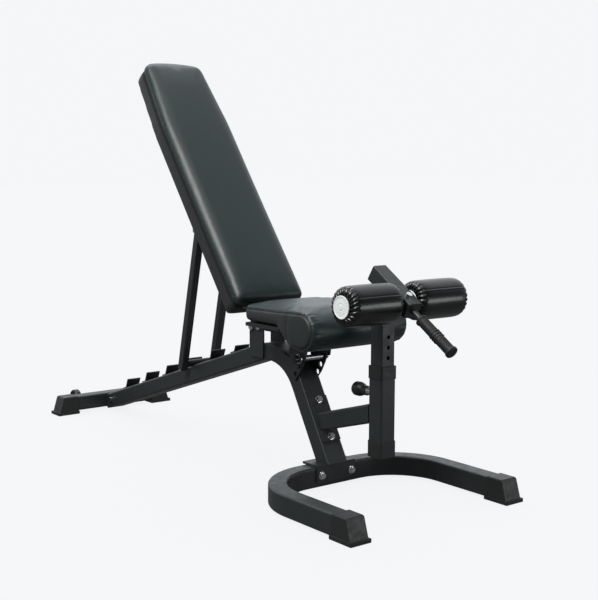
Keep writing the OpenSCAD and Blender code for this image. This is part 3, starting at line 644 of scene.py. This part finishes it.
def make_back_pad():
    layers = [(0.0080, 0.0050), (0.0092, 0.0018), (0.012, 0.0008), (0.030, 0.0002),
              (SEAM_V - 0.004, 0.0004), (SEAM_V, 0.0016), (SEAM_V + 0.004, 0.0022),
              (SEAM_V + 0.010, 0.0012), (SEAM_V + 0.016, -0.0010), (SEAM_V + 0.022, -0.0014),
              (FRONT_V - 0.015, 0.0008), (FRONT_V - 0.009, 0.0042), (FRONT_V - 0.0045, 0.0090),
              (FRONT_V - 0.0015, 0.0160), (FRONT_V, 0.0250)]
    n = len(back_outline(0.004))

    verts, faces = stack([(v, ring_of(back_outline(i), n)) for v, i in layers],
                         lambda v, q: (q[0], v, q[1]))
    ob = soft_block("back_pad", verts, faces, BACK_VOXEL, back_shape, back_pinned, BACK_CAP,
                    back_groove, BACK_FORCE)
    tree = tree_of(ob)
    loop = back_outline(0.0, spacing=0.004)
    nxt = np.roll(loop, -1, 0) - np.roll(loop, 1, 0)
    out = np.stack([nxt[:, 1], -nxt[:, 0]], 1)
    out /= np.linalg.norm(out, axis=1)[:, None]

    def at(v, lift):
        p = np.stack([loop[:, 0], np.full(len(loop), v), loop[:, 1]], 1)
        n3 = np.stack([out[:, 0], np.zeros(len(loop)), out[:, 1]], 1)
        hit, _ = on_surface(tree, p, n3)
        return hit + n3 * lift, n3

    pipe, _ = at(SEAM_V + 0.0015, 0.0002)
    pipe = relax_loop(pipe, 4)
    sew, sew_n = at(SEAM_V + 0.0125, 0.0)
    set_co(ob.data, back_to_row(get_co(ob.data)))
    # the rear panel and the band in front of the seam get the painted-shade materials
    seam_split(ob, (PAD, PAD_SIDE_SHADE, BLACK_BAND_AND_SHADE), pad_side_faces)
    # piping and front stitching take the black band's material, painted shade
    v, f = tube_along(back_to_row(pipe), 0.0009, 8, True)
    cord = new_object("back_pad_piping", v, f, BLACK_BAND_AND_SHADE)
    tidy(cord)
    path, nn = np.vstack([sew, sew[:1]]), np.vstack([sew_n, sew_n[:1]])
    v, f = stitches(back_to_row(path), nn @ turn_of(back_to_row), 0.0052, 0.0036, 0.00040)
    return ob, [cord, new_object("back_pad_stitching_front", v, f, BLACK_BAND_AND_SHADE)]


def turn_of(to_row):
    """The rotation part of a local frame, for directions as rows."""
    rot = to_row(np.vstack([np.zeros(3), np.eye(3)]))
    return rot[1:] - rot[0]


def relax_loop(p, rounds):
    for _ in range(rounds):
        p = 0.5 * p + 0.25 * (np.roll(p, 1, 0) + np.roll(p, -1, 0))
    return p


def seam_split(ob, materials, chooser):
    """Gives each face the material whose index chooser returns for its centre."""
    me = ob.data
    for mat in materials:
        me.materials.append(mat)
    mid = np.zeros(len(me.polygons) * 3)
    me.polygons.foreach_get("center", mid)
    pick = chooser(mid.reshape(-1, 3))
    me.polygons.foreach_set("material_index", pick.astype(np.int32))
    me.update()


def pad_side_faces(mid):
    """Face 0, rear panel 1 in the darker leatherette copy that paints shade, and the black gusset
    band 2 just in front of the seam, whose darkness also paints the recessed seam's shade on a flat
    side.
    """
    ca, sa = math.cos(BACK_ANGLE), math.sin(BACK_ANGLE)
    p = mid - BACK_PIVOT
    v = -p[:, 1] * sa + p[:, 2] * ca
    return np.where(v < SEAM_V - 0.002, 1, np.where(v < SEAM_V + 0.0160, 2, 0))


# ---------------------------------------------------------------- seat pad
SEAT_REAR, SEAT_MID, SEAT_R = 0.056, 0.349, 0.057
SEAT_TOP, SEAT_LOW = 0.080, 0.0265
ROLL_V = SEAT_TOP - SEAT_R
PANEL_U = 0.290
SEAT_VOXEL, SEAT_CAP = 0.0042, 0.0030


def seat_width(u):
    return 0.138 + (0.170 - 0.138) * np.clip((u - SEAT_REAR) / (PANEL_U - SEAT_REAR), 0, 1)


def seat_profile(inset, spacing=0.005):
    """Side outline (u, v) of the slab and its front roll, stood in by inset."""
    i = inset
    r = SEAT_R - i
    pts = [(SEAT_REAR + i, SEAT_LOW + i + 0.006), (SEAT_REAR + i, SEAT_TOP - i - 0.012)]
    for a in np.linspace(180, 90, 6):
        pts.append((SEAT_REAR + i + 0.012 + 0.012 * math.cos(math.radians(a)),
                    SEAT_TOP - i - 0.012 + 0.012 * math.sin(math.radians(a))))
    pts.append((SEAT_MID - 0.02, SEAT_TOP - i))
    for a in np.linspace(88, -100, 26):
        pts.append((SEAT_MID + r * math.cos(math.radians(a)),
                    ROLL_V + r * math.sin(math.radians(a))))
    pts.append((0.300 + 0.4 * i, -0.0265 + i))
    pts.append((0.250 + 0.8 * i, 0.0100 + 0.7 * i))
    pts.append((0.238, SEAT_LOW + i))
    pts.append((SEAT_REAR + i + 0.006, SEAT_LOW + i))
    return spaced_loop(pts, spacing)


def seat_shape(co, edges):
    u, v = co[:, 2], co[:, 1]
    bottom = 1 - step(v, SEAT_LOW - 0.002, SEAT_LOW + 0.012)
    bottom = np.where(u > 0.25, 0.0, bottom)
    co = relax(co, edges, 1.0 - 0.8 * bottom, 9)
    u, v, x = co[:, 2], co[:, 1], co[:, 0]
    w = seat_width(u)
    across = np.clip(1 - (x / w) ** 2, 0, 1) ** 0.7
    slab = 1 - step(u, SEAT_MID - 0.03, SEAT_MID + 0.03)
    top = step(v, SEAT_TOP - 0.022, SEAT_TOP - 0.008) * slab
    co[:, 1] += top * 0.0045 * across * step(u, SEAT_REAR, SEAT_REAR + 0.05)
    front = step(u, SEAT_MID, SEAT_MID + 0.03)
    co[:, 2] += front * 0.0025 * across
    return co


def seat_pinned(co):
    u, v = co[:, 2], co[:, 1]
    hold = np.zeros(len(co))
    hold[(v < SEAT_LOW + 0.004) & (u < 0.24)] = 1.0
    hold[seat_seam_gap(co) < 0.0032] = 1.0
    return hold


def seat_seam_line():
    """The seam on the seat's side, (u, v): along the slab, then round the roll's end panel."""
    pts = [(SEAT_REAR + 0.002, 0.0645), (0.12, 0.0650), (0.20, 0.0662), (0.27, 0.0675)]
    for a in np.linspace(88, -96, 22):
        pts.append((SEAT_MID - 0.002 + 0.0455 * math.cos(math.radians(a)),
                    ROLL_V + 0.0455 * math.sin(math.radians(a))))
    pts.append((0.306, -0.0135))
    pts.append((0.268, 0.0120))
    return smooth_line(pts, 4)


SEAT_SEAM = seat_seam_line()


def seat_seam_gap(co):
    """How far each point lies from the side seam, for points on the seat's sides."""
    near = np.full(len(co), 1.0)
    side = np.abs(co[:, 0]) > seat_width(co[:, 2]) - 0.016
    q = co[side][:, [2, 1]]
    d = np.full(len(q), 1.0)
    for a, b in zip(SEAT_SEAM[:-1], SEAT_SEAM[1:]):
        ab = b - a
        t = np.clip(((q - a) @ ab) / max(ab @ ab, 1e-12), 0, 1)
        d = np.minimum(d, np.linalg.norm(q - a - t[:, None] * ab, axis=1))
    near[side] = d
    return near


def seat_groove(co, nor):
    gap = seat_seam_gap(co)
    on_side = step(np.abs(nor[:, 0]), 0.35, 0.7)
    u = co[:, 2]
    wave = 0.6 + 0.4 * np.sin((co[:, 2] + co[:, 1]) * 2 * math.pi / 0.0105)
    pinch = 0.0030 * np.exp(-(gap / 0.0028) ** 2) + 0.0008 * wave * np.exp(-(gap / 0.008) ** 2)
    panel = 0.0022 * np.exp(-((u - PANEL_U) / 0.0030) ** 2) * (co[:, 1] < 0.066)
    co = co - nor * ((pinch + panel) * on_side)[:, None]
    # gathers where the cover turns round the roll
    edge = step(np.abs(co[:, 0]), 0.118, 0.160) * step(u, SEAT_MID - 0.01, SEAT_MID + 0.02)
    ang = np.arctan2(co[:, 1] - ROLL_V, u - SEAT_MID)
    pucker = 0.00055 * edge * (np.sin(ang * 17) + 0.5 * np.sin(ang * 29 + 1.0))
    co = co + nor * (pucker * (1 - on_side))[:, None]
    return co


def make_seat_pad():
    n = len(seat_profile(0.003))

    half = [(1.0, 0.0, 0.0125), (1.0, 0.0012, 0.0085), (1.0, 0.0050, 0.0050), (1.0, 0.012, 0.0030)]
    layers = [(-1, back, i) for _, back, i in half] + [(1, back, i) for _, back, i in half[::-1]]
    rings = [((sgn, back), ring_of(seat_profile(inset), n)) for sgn, back, inset in layers]
    verts, faces = stack(
        rings, lambda k, q: (k[0] * (float(seat_width(q[0])) - 0.0035 - k[1]), q[1], q[0]))
    ob = soft_block("seat_pad", verts, faces, SEAT_VOXEL, seat_shape, seat_pinned, SEAT_CAP,
                    seat_groove)
    tree = tree_of(ob)
    made, paths = [], []
    for sgn in (-1, 1):
        p = np.stack([sgn * seat_width(SEAT_SEAM[:, 0]), SEAT_SEAM[:, 1], SEAT_SEAM[:, 0]], 1)
        nn = np.zeros_like(p)
        nn[:, 0] = sgn
        hit, _ = on_surface(tree, p, nn)
        for _ in range(3):
            hit[1:-1, 0] = 0.5 * hit[1:-1, 0] + 0.25 * (hit[:-2, 0] + hit[2:, 0])
        hit[:, 0] += sgn * 0.0002
        paths.append((sgn, hit, nn))
    turn = turn_of(seat_to_row)
    for sgn, hit, nn in paths:
        tag = "left" if sgn > 0 else "right"
        v, f = tube_along(seat_to_row(hit), 0.0014, 8, False)
        made.append(new_object("seat_pad_piping_" + tag, v, f, PIPING))
        tan = np.gradient(SEAT_SEAM, axis=0)
        tan /= np.linalg.norm(tan, axis=1)[:, None]
        outward = np.stack([-tan[:, 1], tan[:, 0]], 1)
        q = SEAT_SEAM + 0.0048 * outward
        pp = np.stack([sgn * seat_width(q[:, 0]), q[:, 1], q[:, 0]], 1)
        h2, n2 = on_surface(tree, pp, nn)
        v, f = stitches(seat_to_row(h2), n2 @ turn, 0.0058, 0.0040, 0.00050)
        made.append(new_object("seat_pad_stitching_" + tag, v, f, THREAD))
    set_co(ob.data, seat_to_row(get_co(ob.data)))

    def chooser(mid):
        ca, sa = math.cos(SEAT_RISE), math.sin(SEAT_RISE)
        q = mid - SEAT_PIVOT
        v = q[:, 1] * sa + q[:, 2] * ca
        u = -q[:, 1] * ca + q[:, 2] * sa
        side = np.abs(q[:, 0]) > seat_width(u) - 0.013
        slab = (u < 0.30) & (v < np.interp(u, SEAT_SEAM[:40, 0], SEAT_SEAM[:40, 1]))
        disc = np.hypot(u - SEAT_MID + 0.002, v - ROLL_V) < 0.0455
        return side & (slab | disc)

    # the seat's side panels and the roll's end panels take the darker leatherette copy, painted
    # shade
    seam_split(ob, (PAD, PAD_SIDE_SHADE), chooser)
    return ob, made


# ---------------------------------------------------------------- rollers
ROLL_OUT, ROLL_IN, ROLL_RADIUS = 0.1955, 0.0280, 0.0510
ROLL_SIDES = 276  # twelve points to each of the 23 folds


def roller_profile():
    """Closed (along, radius) outline of a roller's cover; along runs from inner to outer end."""
    def end(flip):
        pts = [(0.0040, 0.0172), (0.0030, 0.0225), (0.0016, 0.0285), (0.0010, 0.0340),
               (0.0024, 0.0400), (0.0058, 0.0452), (0.0108, 0.0486), (0.0170, 0.0503),
               (0.0260, ROLL_RADIUS)]
        line = smooth_line(pts, 6)
        if flip:
            return [(ROLL_OUT - e, r) for e, r in line]
        return [(ROLL_IN + e, r) for e, r in line]

    a = end(False)
    b = end(True)[::-1]
    mid = [(t, ROLL_RADIUS + 0.0004 * math.sin(math.pi * (t - ROLL_IN) / (ROLL_OUT - ROLL_IN)))
           for t in np.linspace(a[-1][0], b[0][0], 22)[1:-1]]
    bore = [(t, 0.0172) for t in np.linspace(b[-1][0], a[0][0], 6)[1:-1]]
    return a + mid + b + bore


def roller_warp(seed):
    rng = np.random.default_rng(seed)
    ph = rng.uniform(0, 2 * math.pi, 8)
    folds = 23

    def warp(a, r, th):
        da, dr = np.zeros_like(a), np.zeros_like(r)
        for outer in (True, False):
            e = (ROLL_OUT - a) if outer else (a - ROLL_IN)
            near = (e < 0.05) & (r > 0.0173)
            k = 0 if outer else 4
            swirl = 6.0 * np.clip(r - 0.028, 0, 0.03) * (1 if outer else -1)
            t2 = th + swirl + 0.045 * np.sin(3 * th + ph[k]) + 0.03 * np.sin(5 * th + ph[k + 1])
            fold = np.abs(np.cos(folds * t2 / 2)) ** 0.55
            size = 1 + 0.35 * np.sin(2 * th + ph[k + 2]) * np.sin(7 * th + ph[k + 3])
            ring = step(r, 0.0175, 0.028) * (1 - step(e, 0.006, 0.026))
            depth = 0.0046 * size * ring * (1 - fold)
            da += np.where(near, (-1 if outer else 1) * depth, 0)
            dr -= np.where(near, 0.0013 * (1 - fold) * step(r, 0.040, 0.049)
                           * (1 - step(e, 0.003, 0.014)), 0)
            fine = (np.sin(folds * th + ph[k + 1]) * 0.5 + np.sin(31 * th + ph[k]) * 0.35
                    + np.sin(47 * th + 2 * ph[k + 2]) * 0.25)
            dr += np.where(e < 0.075, 0.00014 * fine * np.exp(-e / 0.007)
                           * step(r, 0.048, 0.0505), 0)
        body = step(r, 0.0495, 0.0508)
        dr += body * 0.00006 * (np.sin(3 * th + 40 * a + ph[5]) + np.sin(5 * th - 55 * a + ph[6]))
        return a + da, r + dr

    return warp


def make_roller(side):
    tag = "left" if side > 0 else "right"
    pts, faces = lathe(roller_profile(), ROLL_SIDES, roller_warp(11 if side > 0 else 7))
    # the cover's long seam: a shallow valley with a raised lip, on the front above mid-height
    seam_at = math.radians(142 if side > 0 else 150)
    ang = np.arctan2(pts[:, 2], pts[:, 1])
    d = (ang - seam_at) * ROLL_RADIUS
    rr = np.hypot(pts[:, 1], pts[:, 2])
    on = step(rr, 0.048, 0.0505)
    dr = on * (-0.0010 * np.exp(-(d / 0.0014) ** 2) + 0.0005 * np.exp(-((d - 0.0036) / 0.002) ** 2))
    k = (rr + dr) / rr
    pts[:, 1] *= k
    pts[:, 2] *= k
    pts[:, 0] *= side
    pts += AXLE
    ob = new_object(f"roller_cover_{tag}", pts, faces, VINYL)
    tidy(ob)
    line = np.array([(side * t, (ROLL_RADIUS + 0.0002) * math.cos(seam_at + 0.085),
                      (ROLL_RADIUS + 0.0002) * math.sin(seam_at + 0.085))
                     for t in np.linspace(ROLL_IN + 0.022, ROLL_OUT - 0.022, 40)]) + AXLE
    nn = np.tile([0, math.cos(seam_at + 0.085), math.sin(seam_at + 0.085)], (40, 1))
    v, f = stitches(line, nn, 0.0060, 0.0042, 0.00050)
    sew = new_object(f"roller_stitching_{tag}", v, f, THREAD)
    return ob, sew


def make_hub(side):
    """The pale end disc with its sleeve and inner flange, turned as one piece."""
    tag = "left" if side > 0 else "right"
    prof = [(0.0250, 0.0101), (0.0250, 0.0268), (0.0256, 0.0278), (0.0272, 0.0280),
            (0.0280, 0.0272), (0.0282, 0.0168), (0.1935, 0.0168), (0.1940, 0.0276),
            (0.1946, 0.0284), (0.1962, 0.0287), (0.1974, 0.0284), (0.1980, 0.0274),
            (0.1980, 0.0262), (0.1974, 0.0256), (0.1971, 0.0240), (0.1974, 0.0180),
            (0.1977, 0.0120), (0.1978, 0.0096), (0.1974, 0.0090), (0.1974, 0.0084),
            (0.1978, 0.0078), (0.1979, 0.0040), (0.1980, 0.0006), (0.1930, 0.0004),
            (0.1928, 0.0101)]
    pts, faces = lathe(prof, 96)
    pts[:, 0] *= side
    pts += AXLE
    ob = new_object(f"roller_end_disc_{tag}", pts, faces, DISC)
    tidy(ob)
    ob.data.set_sharp_from_angle(angle=math.radians(38))
    return ob


# ---------------------------------------------------------------- grip
def make_grip():
    """A moulded sleeve: collar, finely ribbed hold, three thick rings and an end flange."""
    a0, a1 = 0.165, 0.293
    rib = ((0.0, 0.0134), (0.0010, 0.0134), (0.0014, 0.0140), (0.0026, 0.0140), (0.0030, 0.0134))
    ring = ((0.0, 0.0136), (0.0006, 0.0150), (0.0014, 0.0155), (0.0034, 0.0155),
            (0.0042, 0.0150), (0.0048, 0.0136))
    prof = [(a0, 0.0086), (a0, 0.0148), (a0 + 0.0012, 0.0160), (a0 + 0.0048, 0.0160),
            (a0 + 0.0062, 0.0146)]
    t = a0 + 0.0085
    while t < a0 + 0.050:
        prof += [(t + along, r) for along, r in rib]
        t += 0.0036
    t += 0.002
    for _ in range(3):
        prof += [(t + along, r) for along, r in ring]
        t += 0.0090
    while t < a1 - 0.014:
        prof += [(t + along, r) for along, r in rib]
        t += 0.0036
    prof += [(a1 - 0.0105, 0.0140), (a1 - 0.0086, 0.0152), (a1 - 0.0070, 0.0163),
             (a1 - 0.0040, 0.0166), (a1 - 0.0014, 0.0162), (a1 - 0.0003, 0.0150),
             (a1, 0.0110), (a1 - 0.0006, 0.0060), (a1 - 0.0006, 0.0008), (a1 - 0.0060, 0.0006),
             (a1 - 0.0062, 0.0086)]
    pts, faces = lathe(prof, 72)
    local = np.stack([pts[:, 1], pts[:, 2], pts[:, 0]], 1)
    ob = new_object("grip_ribbed", arm_to_row(local), faces, RUBBER)
    tidy(ob)
    ob.data.set_sharp_from_angle(angle=math.radians(50))
    return ob


# ---------------------------------------------------------------- build the soft pieces
back_pad, back_trim = make_back_pad()
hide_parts("back_cushion")
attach(back_pad, "backrest")
for piece in back_trim:
    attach(piece, "backrest")

seat_pad, seat_trim = make_seat_pad()
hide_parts("seat_cushion")
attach(seat_pad, "seat")
for piece in seat_trim:
    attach(piece, "seat")

for side, tag in ((1, "left"), (-1, "right")):
    cover, sew = make_roller(side)
    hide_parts(f"roller_{tag}_sleeve")
    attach(cover, f"{tag}_roller")
    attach(sew, f"{tag}_roller")
    hub = make_hub(side)
    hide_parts(f"roller_{tag}_hub")
    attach(hub, f"{tag}_roller")

grip = make_grip()
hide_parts("grip_sleeve")
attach(grip, "roller_post")

# ---------------------------------------------------------------- finishes of the CAD nodes
finish_of = {
    "plated_steel": CHROME, "black_plastic": CAP, "grip_rubber": RUBBER, "board": BOARD,
    "powder_coat": COAT, "pad_cover": PAD, "roller_cover": VINYL, "roller_hub": DISC}
slot_of = {s["node"]: s["material_slot"] for s in frame["record"]["subparts"]}
special = {"seat_pin": SATIN, "roller_axle": SATIN, "pop_plunger": SATIN, "pop_knob": KNOB,
           "seat_pin_knob": KNOB, "wheel_left": KNOB, "wheel_right": KNOB, "pop_barrel": SATIN}
for name, ob in nodes.items():
    mat = special.get(name) or finish_of[slot_of[name]]
    ob.data.materials.clear()
    ob.data.materials.append(mat)

# ---------------------------------------------------------------- camera
cam_data = bpy.data.cameras.new("camera")
cam = bpy.data.objects.new("camera", cam_data)
scene.collection.objects.link(cam)
cam_data.sensor_fit = "AUTO"
cam_data.sensor_width = 36.0
cam_data.lens = 66.0
cam_data.clip_start, cam_data.clip_end = 0.05, 100.0
yaw, pitch, roll = math.radians(-37.7895), math.radians(6.6514), math.radians(0.1677)
back_dir = Vector((math.sin(yaw) * math.cos(pitch), -math.cos(yaw) * math.cos(pitch),
                   math.sin(pitch)))
right_dir = Vector((math.cos(yaw), math.sin(yaw), 0.0))
up_dir = back_dir.cross(right_dir)
rx = right_dir * math.cos(roll) + up_dir * math.sin(roll)
ux = up_dir * math.cos(roll) - right_dir * math.sin(roll)
eye = Vector((-1.87456, -2.70886, 0.85204))
cam.matrix_world = Matrix((
    (rx.x, ux.x, back_dir.x, eye.x),
    (rx.y, ux.y, back_dir.y, eye.y),
    (rx.z, ux.z, back_dir.z, eye.z),
    (0, 0, 0, 1)))
scene.camera = cam

# ---------------------------------------------------------------- studio
floor_mat = bpy.data.materials.new("studio_floor")
floor_mat.use_nodes = True
ft = floor_mat.node_tree
fb = ft.nodes["Principled BSDF"]
fb.inputs["Base Color"].default_value = (0.085, 0.085, 0.085, 1)
fb.inputs["Roughness"].default_value = 1.0
fb.inputs["Specular IOR Level"].default_value = 0.0
fb.inputs["Emission Color"].default_value = (0.857, 0.865, 0.882, 1)
# pale to the camera; to other rays the floor's glow is weak
seen_floor = ft.nodes.new("ShaderNodeLightPath")
glow = ft.nodes.new("ShaderNodeMapRange")
glow.inputs["To Min"].default_value = 0.13
ft.links.new(seen_floor.outputs["Is Camera Ray"], glow.inputs["Value"])
ft.links.new(glow.outputs["Result"], fb.inputs["Emission Strength"])
size = 60.0  # half the floor's side, in metres
floor = new_object("studio_floor", [(-size, -size, 0), (size, -size, 0), (size, size, 0),
                                    (-size, size, 0)], [(0, 1, 2, 3)], floor_mat, False)
floor.location.z = float(cad_lo.z) - 0.0005

world = bpy.data.worlds.new("studio")
scene.world = world
world.use_nodes = True
wt = world.node_tree
wt.nodes.clear()
# the camera sees one plain colour; other rays see a bright side behind the object, a dark one
# on the camera's side
out = wt.nodes.new("ShaderNodeOutputWorld")
seen = wt.nodes.new("ShaderNodeBackground")
seen.inputs["Color"].default_value = (0.913, 0.9216, 0.9387, 1)
seen.inputs["Strength"].default_value = 1.0
lit = wt.nodes.new("ShaderNodeBackground")
path = wt.nodes.new("ShaderNodeLightPath")
pick = wt.nodes.new("ShaderNodeMixShader")
co = wt.nodes.new("ShaderNodeTexCoord")
dot = wt.nodes.new("ShaderNodeVectorMath")
dot.operation = "DOT_PRODUCT"
dot.inputs[1].default_value = (0.60, 0.78, 0.18)
wt.links.new(co.outputs["Generated"], dot.inputs[0])
shade = wt.nodes.new("ShaderNodeMapRange")
shade.interpolation_type = "SMOOTHSTEP"
for key, x in (("From Min", -0.15), ("From Max", 0.85), ("To Min", 0.06), ("To Max", 1.10)):
    shade.inputs[key].default_value = x
wt.links.new(dot.outputs["Value"], shade.inputs["Value"])
wt.links.new(shade.outputs["Result"], lit.inputs["Strength"])
lit.inputs["Color"].default_value = (0.93, 0.965, 1.0, 1)
wt.links.new(path.outputs["Is Camera Ray"], pick.inputs[0])
wt.links.new(lit.outputs[0], pick.inputs[1])
wt.links.new(seen.outputs[0], pick.inputs[2])
wt.links.new(pick.outputs[0], out.inputs["Surface"])


# the area lights leave the floor out
not_floor = bpy.data.collections.new("not_floor")
not_floor.objects.link(floor)
not_floor.collection_objects[0].light_linking.link_state = "EXCLUDE"


def area(name, at, aim, width, height, power, colour=(1, 1, 1)):
    d = bpy.data.lights.new(name, "AREA")
    d.shape = "RECTANGLE"
    d.size, d.size_y = width, height
    d.energy = power
    d.color = colour
    ob = bpy.data.objects.new(name, d)
    scene.collection.objects.link(ob)
    ob.location = at
    ob.rotation_mode = "QUATERNION"
    ob.rotation_quaternion = (Vector(aim) - Vector(at)).to_track_quat("-Z", "Y")
    ob.light_linking.receiver_collection = not_floor
    return ob


sun_data = bpy.data.lights.new("sun", "SUN")
sun_data.energy = 1.1
sun_data.angle = math.radians(70)
sun = bpy.data.objects.new("sun", sun_data)
scene.collection.objects.link(sun)
sun.rotation_mode = "QUATERNION"
sun.rotation_quaternion = Vector((0.35, 0.25, -1.0)).to_track_quat("-Z", "Y")

area("softbox_left", (-2.5, -0.75, 3.1), (0.0, 0.1, 0.6), 1.5, 1.9, 125, (1.0, 0.99, 0.97))
area("low_fill", (1.6, -3.0, 0.45), (0.0, -0.4, 0.25), 1.6, 0.7, 13, (0.97, 0.99, 1.0))
area("strip_top", (0.3, 1.4, 3.3), (0.0, 0.0, 0.4), 2.6, 1.2, 30, (0.96, 0.98, 1.0))
